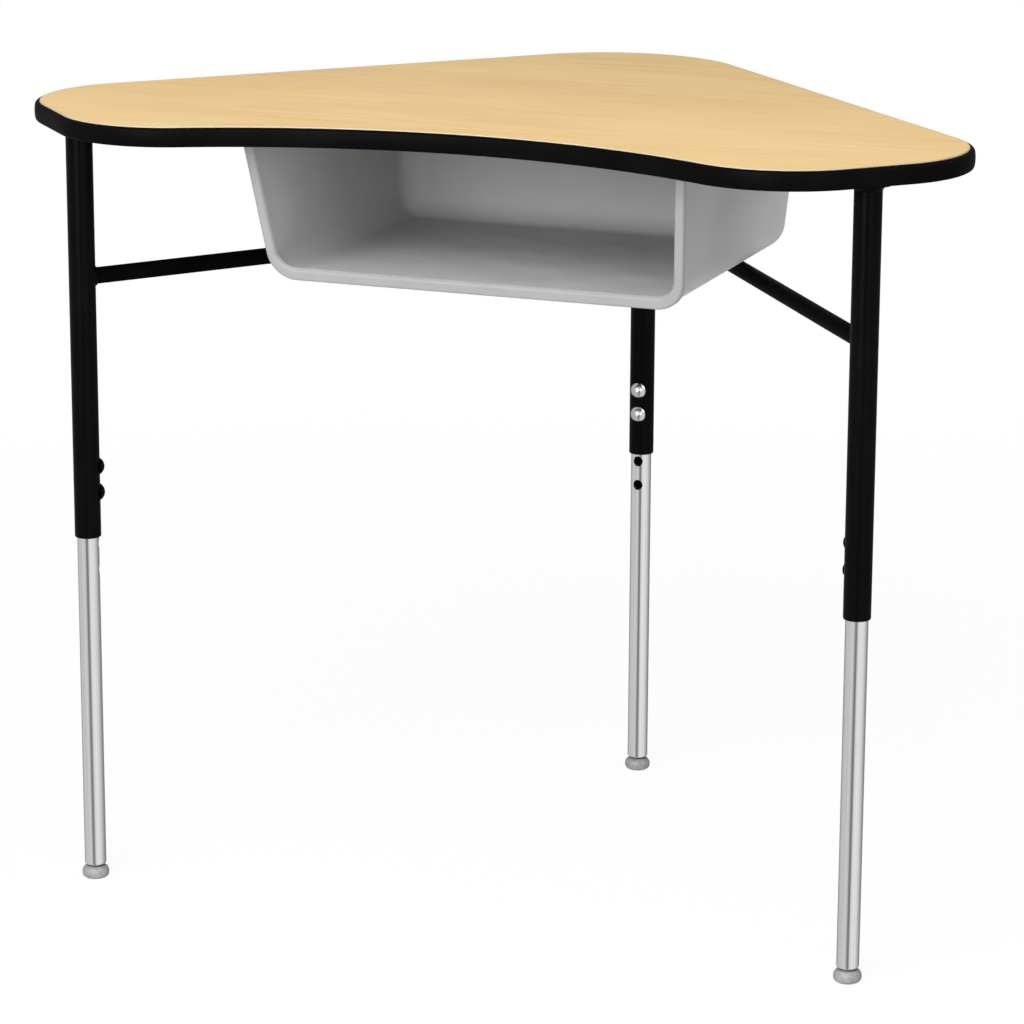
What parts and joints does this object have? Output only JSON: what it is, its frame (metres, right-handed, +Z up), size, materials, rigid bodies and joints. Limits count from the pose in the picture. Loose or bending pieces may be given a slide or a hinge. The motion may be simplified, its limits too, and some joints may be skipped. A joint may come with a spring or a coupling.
{
  "type": "curved student desk",
  "caption": "Curved student desk with a rounded wedge top, an open book box under it, and tubular legs whose lower inserts slide and bolt at stepped heights.",
  "frame": {"origin": "on the floor, under the middle of the desktop's bounding box", "axes": "+X along the width, +Y from the user's side to the rear corner, +Z up"},
  "size_m": [0.9118, 0.6253, 0.762],
  "materials": {
    "particleboard": "raw chipboard, seen only underneath the band",
    "maple_laminate": "printed maple grain, satin",
    "backer": "plain dark backer sheet",
    "black_vinyl": "black vinyl, fine satin",
    "black_paint": "black powder coat, semi-gloss",
    "zinc_steel": "bright zinc plate",
    "grey_plastic": "moulded grey, lightly textured",
    "bright_chrome": "bright chrome plate",
    "black_plastic": "plain black",
    "grey_nylon": "moulded grey nylon"
  },
  "bodies": {
    "frame": {"desktop_core": "particleboard", "top_laminate": "maple_laminate", "backer_sheet": "backer", "edge_band": "black_vinyl", "plate_screws": "zinc_steel", "left_brace": "black_paint", "right_brace": "black_paint", "book_box": "grey_plastic", "box_screws": "zinc_steel", "left_mount_plate": "black_paint", "left_upper_leg": "black_paint", "left_adjust_bolts": "black_paint", "right_mount_plate": "black_paint", "right_upper_leg": "black_paint", "right_adjust_bolts": "black_paint", "rear_mount_plate": "black_paint", "rear_upper_leg": "black_paint", "rear_adjust_bolts": "zinc_steel"},
    "left_insert": {"left_leg_insert": "bright_chrome", "left_glide_plug": "black_plastic"},
    "left_stud": {"left_glide_stud": "zinc_steel"},
    "left_foot": {"left_glide_base": "grey_nylon"},
    "right_insert": {"right_leg_insert": "bright_chrome", "right_glide_plug": "black_plastic"},
    "right_stud": {"right_glide_stud": "zinc_steel"},
    "right_foot": {"right_glide_base": "grey_nylon"},
    "rear_insert": {"rear_leg_insert": "bright_chrome", "rear_glide_plug": "black_plastic"},
    "rear_stud": {"rear_glide_stud": "zinc_steel"},
    "rear_foot": {"rear_glide_base": "grey_nylon"}
  },
  "joints": [
    {"name": "left_leg_height", "type": "slide", "parent": "frame", "child": "left_insert", "axis": [0, 0, -1], "range_m": [-0.0762, 0.0762]},
    {"name": "left_glide_turn", "type": "hinge", "parent": "left_insert", "child": "left_stud", "pos_m": [-0.384, -0.2305, 0.0062], "axis": [0, 0, 1], "continuous": true},
    {"name": "left_glide_tilt", "type": "hinge", "parent": "left_stud", "child": "left_foot", "pos_m": [-0.384, -0.2305, 0.0062], "axis": [1, 0, 0], "range_deg": [-5, 5]},
    {"name": "right_leg_height", "type": "slide", "parent": "frame", "child": "right_insert", "axis": [0, 0, -1], "range_m": [-0.0762, 0.0762]},
    {"name": "right_glide_turn", "type": "hinge", "parent": "right_insert", "child": "right_stud", "pos_m": [0.384, -0.2305, 0.0062], "axis": [0, 0, 1], "continuous": true},
    {"name": "right_glide_tilt", "type": "hinge", "parent": "right_stud", "child": "right_foot", "pos_m": [0.384, -0.2305, 0.0062], "axis": [1, 0, 0], "range_deg": [-5, 5]},
    {"name": "rear_leg_height", "type": "slide", "parent": "frame", "child": "rear_insert", "axis": [0, 0, -1], "range_m": [-0.0762, 0.0762]},
    {"name": "rear_glide_turn", "type": "hinge", "parent": "rear_insert", "child": "rear_stud", "pos_m": [0, 0.2855, 0.0062], "axis": [0, 0, 1], "continuous": true},
    {"name": "rear_glide_tilt", "type": "hinge", "parent": "rear_stud", "child": "rear_foot", "pos_m": [0, 0.2855, 0.0062], "axis": [1, 0, 0], "range_deg": [-5, 5]}
  ]
}
